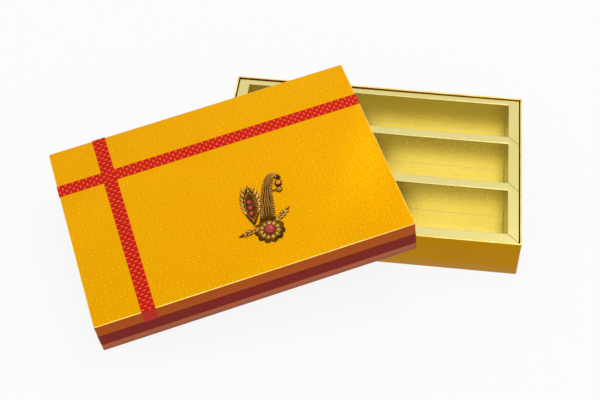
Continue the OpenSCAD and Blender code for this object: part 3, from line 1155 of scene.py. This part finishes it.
@dataclass(frozen=True)
class Wing:
    """Raised wing: rows of feathers round an almond that holds three stones.

    feather_span, the almond's middle and reach and the place of an end leaf are parts of the
    wing's length. almond_width and bead_row_width are parts of its width. feather_half_l and
    rib_span are parts of a feather's length. feather_spread is in degrees.
    """

    root: tuple = (-7.6, -17.6)
    tip: tuple = (-15.6, 21.6)
    width: float = 14.0
    feather_l: float = 6.5
    feather_w: float = 3.0
    feather_rows: int = 6
    feather_span: tuple = (0.3, 0.65)
    feather_spread: float = 24
    feather_half_l: float = 0.46
    feather_half_w: float = 1.15
    feather_h: float = 0.75
    rib_steps: int = 6
    rib_span: tuple = (0.1, 0.8)
    rib_size: tuple = (0.3, 0.4)
    almond_steps: int = 48
    almond_middle: float = 0.47
    almond_reach: float = 0.33
    almond_width: float = 0.66
    almond_size: tuple = (0.45, 0.8)
    bead_row_width: float = 0.5
    sink: float = 0.1
    almond_bead_r: float = 0.34
    end_leaves: tuple = ((0.86, 2.2), (0.93, 1.3), (0.12, 1.4))
    end_leaf_half_l: float = 2.6
    end_leaf_h: float = 0.8
    stones: tuple = ((-13, 4.6), (-11.8, -0.9), (-10.6, -6.4))
    crown_r: float = 2.45
    crown_beads: int = 12
    crown_bead_r: float = 0.3

    def almond(self, axis: Axis, width: float) -> list:
        """Works out a closed line round the wing's middle.

        Args:
            axis: The wing's middle line.
            width: Width of the line, as a share of the wing's.

        Returns:
            Its points. The last is the first.
        """
        points = []
        for k in range(self.almond_steps + 1):
            angle = 2 * math.pi * k / self.almond_steps
            along = self.almond_middle + self.almond_reach * math.cos(angle)
            across = width * self.width / 2 * math.sin(angle)
            points.append(axis.at(along) + axis.side * across)
        return points

    def add_feather(self, relief: Relief, axis: Axis, share: float, side: int) -> None:
        """Adds a feather with its rib.

        Args:
            relief: The relief.
            axis: The wing's middle line.
            share: Share of the wing's length at which the feather starts.
            side: 1 to the right of the line, -1 to its left.
        """
        out_by = (self.width - self.feather_w) / 2 * math.sin(math.pi * share)
        foot = axis.at(share) + axis.side * side * out_by
        turn = axis.heading - side * self.feather_spread
        out = Vector(on_circle((0, 0), 1, math.radians(turn))) * self.feather_l
        size = (self.feather_l * self.feather_half_l, self.feather_half_w, self.feather_h)
        relief.dome((*(foot + out / 2), relief.plate), size, turn)
        start, reach = self.rib_span
        rib = [foot + out * (start + reach * k / self.rib_steps) for k in range(self.rib_steps + 1)]
        relief.wire(rib, relief.plate + self.feather_h, self.rib_size)

    def add_to(self, relief: Relief) -> None:
        """Adds the feathers, the almond and the stones' crowns.

        Args:
            relief: The relief.
        """
        axis = Axis.between(self.root, self.tip)
        for row in range(self.feather_rows):
            share = self.feather_span[0] + self.feather_span[1] * row / self.feather_rows
            for side in (-1, 1):
                self.add_feather(relief, axis, share, side)
        level = relief.body - self.sink
        relief.wire(self.almond(axis, self.almond_width), level, self.almond_size)
        for point in self.almond(axis, self.bead_row_width)[:-1:2]:
            relief.bead(point, level, self.almond_bead_r)
        for share, width in self.end_leaves:
            size = (self.end_leaf_half_l, width / 2, self.end_leaf_h)
            relief.dome((*axis.at(share), relief.plate), size, axis.heading)
        for stone in self.stones:
            relief.crown(stone, self.crown_r, self.crown_beads, level, self.crown_bead_r)


@dataclass(frozen=True)
class Rosette:
    """Round flower below the neck: petals with beaded edges round one large stone.

    edge_turn is the turn between the beads of a petal's edge, in degrees.
    """

    middle: tuple = (4.5, -22.0)
    radius: float = 9.4
    petals: int = 11
    petal_r: float = 2.8
    petal_size: tuple = (1.7, 1.25, 0.75)
    edge_beads: tuple = (-3, -2, -1, 0, 1, 2, 3)
    edge_turn: float = 33
    edge_r: float = 2.3
    bead_r: float = 0.42
    crown_r: float = 4.9
    crown_beads: int = 26
    crown_sink: float = 0.15

    def add_to(self, relief: Relief) -> None:
        """Adds the petals and the beads.

        Args:
            relief: The relief.
        """
        for k in range(self.petals):
            angle = 2 * math.pi * k / self.petals
            at = on_circle(self.middle, self.radius - self.petal_r, angle)
            relief.dome((*at, relief.plate), self.petal_size, math.degrees(angle))
            for n in self.edge_beads:
                edge = angle + math.radians(self.edge_turn * n)
                relief.bead(on_circle(at, self.edge_r, edge), relief.plate, self.bead_r)
        relief.crown(self.middle, self.crown_r, self.crown_beads, relief.body - self.crown_sink,
                     self.bead_r)


@dataclass(frozen=True)
class Sprig:
    """Leafy sprig: pairs of leaves along a stem.

    first_leaf and leaf_gap are parts of the stem's length, leaf_out is how far leaves stand
    out at the stem's middle, and leaf_spread is in degrees.
    """

    start: tuple
    end: tuple
    pairs: int = 4
    first_leaf: float = 0.2
    leaf_gap: float = 0.62 / 3.6
    leaf_out: float = 1.35
    leaf_size: tuple = (2.1, 0.75, 0.8)
    leaf_spread: float = 26
    stem_steps: int = 10
    stem_rise: float = 0.55
    stem_size: tuple = (0.5, 0.8)

    def add_to(self, relief: Relief) -> None:
        """Adds the leaves and the stem.

        Args:
            relief: The relief.
        """
        axis = Axis.between(self.start, self.end)
        for pair in range(self.pairs):
            share = self.first_leaf + self.leaf_gap * pair
            out_by = self.leaf_out * math.sin(math.pi * share)
            for side in (-1, 1):
                middle = axis.at(share) + axis.side * side * out_by
                turn = axis.heading - side * self.leaf_spread
                relief.dome((*middle, relief.plate), self.leaf_size, turn)
        stem = [axis.at(k / self.stem_steps) for k in range(self.stem_steps + 1)]
        relief.wire(stem, relief.plate + self.stem_rise, self.stem_size)


@dataclass(frozen=True)
class HeadTrim:
    """Beads round the amber below the head, and the blossom on its stem."""

    amber: tuple = (9.6, 23.4)
    crown_r: float = 2.5
    crown_beads: int = 14
    crown_bead_r: float = 0.34
    rise: float = 0.3
    blossom: tuple = (10.4, 17.2)
    blossom_r: float = 1.5
    petals: int = 5
    petal_size: tuple = (0.95, 0.7, 0.6)
    heart_r: float = 0.6

    def add_to(self, relief: Relief) -> None:
        """Adds the beads and the blossom.

        Args:
            relief: The relief.
        """
        level = relief.plate + self.rise
        relief.crown(self.amber, self.crown_r, self.crown_beads, level, self.crown_bead_r)
        for k in range(self.petals):
            angle = 2 * math.pi * k / self.petals
            at = on_circle(self.blossom, self.blossom_r, angle)
            relief.dome((*at, relief.plate), self.petal_size, math.degrees(angle))
        relief.bead(self.blossom, level, self.heart_r)


@dataclass
class Bird:
    """Cast relief of the long-necked metal bird on the lid, in its own flat frame.

    The centre is measured from the lid's front left corner, and the turn is in degrees.
    """

    lid: Lid
    centre: tuple = (153.6, 58.3)
    turn: float = -19.0
    bead_faces: tuple = (8, 6)
    parts: tuple = (Neck(), Wing(), Rosette(), Sprig(start=(8, -15), end=(19.4, 0)),
                    Sprig(start=(-2, -19.5), end=(-20, -28)), HeadTrim())

    def frame(self) -> Matrix:
        """Works out the frame of the bird.

        Returns:
            The frame, with its origin on the lid's top, in metres.
        """
        middle = (self.centre[0] - self.lid.length / 2, self.centre[1] - self.lid.depth / 2)
        shift = Matrix.Translation(Vector((*middle, self.lid.top)) * MM)
        return self.lid.place.matrix @ shift @ Matrix.Rotation(math.radians(self.turn), 4, "Z")

    def set_beads(self, beads: list, material: bpy.types.Material) -> bpy.types.Object:
        """Makes all the beads of the relief.

        Args:
            beads: Place, level and radius of each bead.
            material: Material of the beads.

        Returns:
            The piece.
        """
        rows = FormRows("bird_beads", {"Material": ("Material", material)})
        size = rows.node("GeometryNodeInputNamedAttribute", data_type="FLOAT")
        size.inputs["Name"].default_value = "size"
        rows.end(rows.set_forms(rows.given["Geometry"], rows.ball(*self.bead_faces, 1.0),
                                rows.given["Material"], Scale=size.outputs["Attribute"]))
        places = bpy.data.meshes.new("bead_places")
        places.from_pydata([Vector(bead[:3]) * MM for bead in beads], [], [])
        sizes = places.attributes.new("size", "FLOAT", "POINT")
        sizes.data.foreach_set("value", [bead[3] * MM for bead in beads])
        return rows.mesh("bird_beads", self.frame(), places)

    def build(self, finishes: dict) -> list:
        """Builds the relief and its beads and puts them on the lid's body.

        Args:
            finishes: Materials by finish name.

        Returns:
            The relief and the beads.
        """
        relief = Relief()
        for part in self.parts:
            part.add_to(relief)
        cast = new_piece("bird_relief", relief.points, relief.faces, self.frame())
        dress(cast, finishes[BRASS.name])
        smooth_soft_edges(cast)
        balls = self.set_beads(relief.beads, finishes[BRASS.name])
        for piece in (cast, balls):
            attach(piece, Body.LID.value)
        return [cast, balls]


@dataclass(kw_only=True)
class Tray(CoveredBox):
    """The tray's foil, turned in over its rim and under its base.

    Drops are depths below the rim, and widths and insets count both sides together. A face
    down to the highlight depth below the rim gets a pale yellow, a painted highlight, where the
    upright part of its normal is more than the highlight rise.
    """

    lip_drops: tuple = (0.4, 0.08)
    lip_widths: tuple = (0.35, 0.9)
    lip_radii: tuple = (0.4, 0.6)
    outer_insets: tuple = (0.9, 0.3)
    outer_radius_cuts: tuple = (0.3, 0.1)
    outer_drops: tuple = (0.12, 0.45)
    wall_drops: tuple = (12, 24)
    foot_rise: float = 0.4
    foot_inset: float = 0.5
    long_steps: int = 120
    short_steps: int = 84
    wrinkle: float = 0.04
    highlight_depth: float = 2
    highlight_rise: float = 0.3

    def profile(self, bottom: float, top: float) -> list:
        """Works out the paper's profile from its end under the base, over the rim, to the foot.

        Args:
            bottom: Level of the base.
            top: Level of the rim.

        Returns:
            For each ring, what it is shorter than the tray, its radius and its level.
        """
        back, wall, lip = self.insets()
        under = 2 * self.turn_in
        back_r = self.corner - self.paper
        return [
            (under, self.fold_r, bottom),
            (under, self.fold_r, bottom + self.paper),
            (back, back_r, bottom + self.paper),
            (back, back_r, top - self.paper),
            (wall, self.fold_r, top - self.paper),
            (wall, self.fold_r, top - self.turn_in),
            (lip, self.lip_r, top - self.turn_in),
            (lip, self.lip_r, top - self.lip_drops[0]),
            (lip - self.lip_widths[0], self.lip_radii[0], top - self.lip_drops[1]),
            (lip - self.lip_widths[1], self.lip_radii[1], top),
            (self.outer_insets[0], self.corner - self.outer_radius_cuts[0], top),
            (self.outer_insets[1], self.corner - self.outer_radius_cuts[1], top - self.outer_drops[0]),
            (0, self.corner, top - self.outer_drops[1]),
            (0, self.corner, top - self.wall_drops[0]),
            (0, self.corner, top - self.wall_drops[1]),
            (0, self.corner, bottom + self.foot_rise),
            (self.foot_inset, self.corner, bottom),
        ]

    def build(self, finishes: dict) -> bpy.types.Object:
        """Builds the foil and puts it on the tray's body.

        Args:
            finishes: Materials by finish name.

        Returns:
            The piece.
        """
        low, high = (np.array(corner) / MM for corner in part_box("tray_wrap"))
        profile = self.profile(low[2], high[2])
        # The profile is taken backwards, so that the faces point outwards
        rings = self.rings(high[0] - low[0], high[1] - low[1], profile[::-1])
        foil = Wrap("tray_foil", rings, long_steps=self.long_steps, short_steps=self.short_steps,
                    wrinkle=self.wrinkle).build()
        for finish in (TRAY_FOIL, PAINTED_HIGHLIGHT_EDGE):
            foil.data.materials.append(finishes[finish.name])
        # Upward faces at the top of the rim get the pale yellow: a painted highlight
        highlight_level = (high[2] - self.highlight_depth) * MM
        for face in foil.data.polygons:
            is_painted_highlight = face.normal.z > self.highlight_rise and face.center.z > highlight_level
            face.material_index = 1 if is_painted_highlight else 0
        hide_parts("tray_wrap")
        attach(foil, Body.TRAY.value)
        return foil


@dataclass(frozen=True)
class Softbox:
    """Soft square lamp that points at the origin, sized in metres and watts."""

    name: str
    at: tuple
    size: float
    power: float

    def build(self) -> None:
        """Adds the lamp."""
        data = bpy.data.lights.new(self.name, "AREA")
        data.size = self.size
        data.energy = self.power
        lamp = bpy.data.objects.new(self.name, data)
        bpy.context.scene.collection.objects.link(lamp)
        lamp.location = self.at
        lamp.rotation_euler = (-Vector(self.at)).to_track_quat("-Z", "Y").to_euler()


@dataclass(frozen=True)
class Studio:
    """Camera, floor, world and lamps. Angles are in degrees, and view_reach is in metres."""

    camera_at: tuple = (29.08, -784.23, 807.26)
    elevation: float = 46.572
    azimuth: float = 6.522
    roll: float = 0.286
    focal_px: float = 1294.24
    frame_px: int = 600
    sensor: float = 36.0
    view_reach: float = 20
    floor_reach: float = 9000
    floor_color: tuple = (0.9, 0.9, 0.9, 1)
    floor_roughness: float = 0.9
    floor_specular: float = 0.1
    floor_white: float = 0.88
    world_light: float = 0.75
    lamps: tuple = (Softbox("top_softbox", at=(-0.66, 1.38, 2.58), size=1.8, power=1.2),
                    Softbox("front_softbox", at=(0.2, -1.8, 1.87), size=0.9, power=5.0),
                    Softbox("edge_softbox", at=(0.5, 0.9, 1.9), size=0.5, power=5.0))

    def camera(self) -> None:
        """Adds the camera at the photograph's place and angle."""
        data = bpy.data.cameras.new("camera")
        data.sensor_width = self.sensor
        data.lens = self.focal_px / self.frame_px * self.sensor
        data.clip_end = self.view_reach
        camera = bpy.data.objects.new("camera", data)
        bpy.context.scene.collection.objects.link(camera)
        height, turn = math.radians(self.elevation), math.radians(self.azimuth)
        level = math.cos(height)
        forward = Vector((-math.sin(turn) * level, math.cos(turn) * level, -math.sin(height)))
        right = Vector((math.cos(turn), math.sin(turn), 0))
        up = right.cross(forward)
        matrix = Matrix((right, up, -forward)).transposed().to_4x4()
        matrix = matrix @ Matrix.Rotation(math.radians(self.roll), 4, "Z")
        matrix.translation = Vector(self.camera_at) * MM
        camera.matrix_world = matrix
        bpy.context.scene.camera = camera

    def shown(self, links: Links) -> Socket:
        """Finds the rays that see the background: from the camera, a gloss or a glass.

        Args:
            links: Tree of the floor or of the world.

        Returns:
            1 for such a ray, otherwise 0.
        """
        path = links.node("ShaderNodeLightPath").outputs
        seen = links.math("MAXIMUM", path["Is Camera Ray"], path["Is Glossy Ray"])
        return links.math("MAXIMUM", seen, path["Is Transmission Ray"])

    def floor(self) -> None:
        """Adds a pale floor that keeps the box's shadow."""
        reach = self.floor_reach
        corners = [(-reach, -reach, 0), (reach, -reach, 0), (reach, reach, 0), (-reach, reach, 0)]
        floor = new_piece("floor", corners, [(0, 1, 2, 3)])
        material = bpy.data.materials.new("floor")
        material.use_nodes = True
        links = Links(material.node_tree)
        shader = material.node_tree.nodes["Principled BSDF"]
        shader.inputs["Base Color"].default_value = self.floor_color
        shader.inputs["Roughness"].default_value = self.floor_roughness
        shader.inputs["Specular IOR Level"].default_value = self.floor_specular
        white = links.node("ShaderNodeEmission")
        mix = links.node("ShaderNodeMixShader")
        links.join(links.math("MULTIPLY", self.shown(links), self.floor_white), mix.inputs[0])
        links.join(shader.outputs[0], mix.inputs[1])
        links.join(white.outputs[0], mix.inputs[2])
        links.join(mix.outputs[0], material.node_tree.nodes["Material Output"].inputs["Surface"])
        dress(floor, material)

    def world(self) -> None:
        """Adds a white world that lights the box a little less than it shows."""
        world = bpy.data.worlds.new("white")
        bpy.context.scene.world = world
        world.use_nodes = True
        links = Links(world.node_tree)
        shade = world.node_tree.nodes["Background"]
        lift = links.math("MULTIPLY", self.shown(links), 1 - self.world_light)
        links.join(links.math("ADD", lift, self.world_light), shade.inputs["Strength"])
        shade.inputs["Color"].default_value = (1, 1, 1, 1)

    def build(self) -> None:
        """Sets up the studio."""
        self.camera()
        self.floor()
        self.world()
        for lamp in self.lamps:
            lamp.build()
        bpy.context.scene.view_settings.view_transform = "Standard"


def dress_nodes(nodes: dict, finishes: dict) -> None:
    """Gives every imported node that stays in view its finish.

    Args:
        nodes: Packed objects by node name.
        finishes: Materials by finish name.
    """
    for name, node in nodes.items():
        if name not in REPLACED_NODES:
            finish = NODE_FINISHES.get(name, BOARD)
            dress(node, finishes[finish.name])
            LOG.info("node %s dressed as %s", name, finish.name)


def main() -> None:
    """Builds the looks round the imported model."""
    logging.basicConfig(level=logging.INFO, format="%(message)s")
    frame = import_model()
    Studio().build()
    group = Surface().group()
    finishes = {finish.name: finish.material(group) for finish in FINISHES}
    dress_nodes(frame["nodes"], finishes)
    lid = Lid(place=LidPlace.from_board(frame["nodes"]["lid_top_board"]))
    for piece in lid.build(finishes) + Bird(lid).build(finishes):
        LOG.info("lid piece %s, %d faces", piece.name, len(piece.data.polygons))
    tray_foil = Tray().build(finishes)
    LOG.info("tray piece %s, %d faces", tray_foil.name, len(tray_foil.data.polygons))


if __name__ == "__main__":
    main()
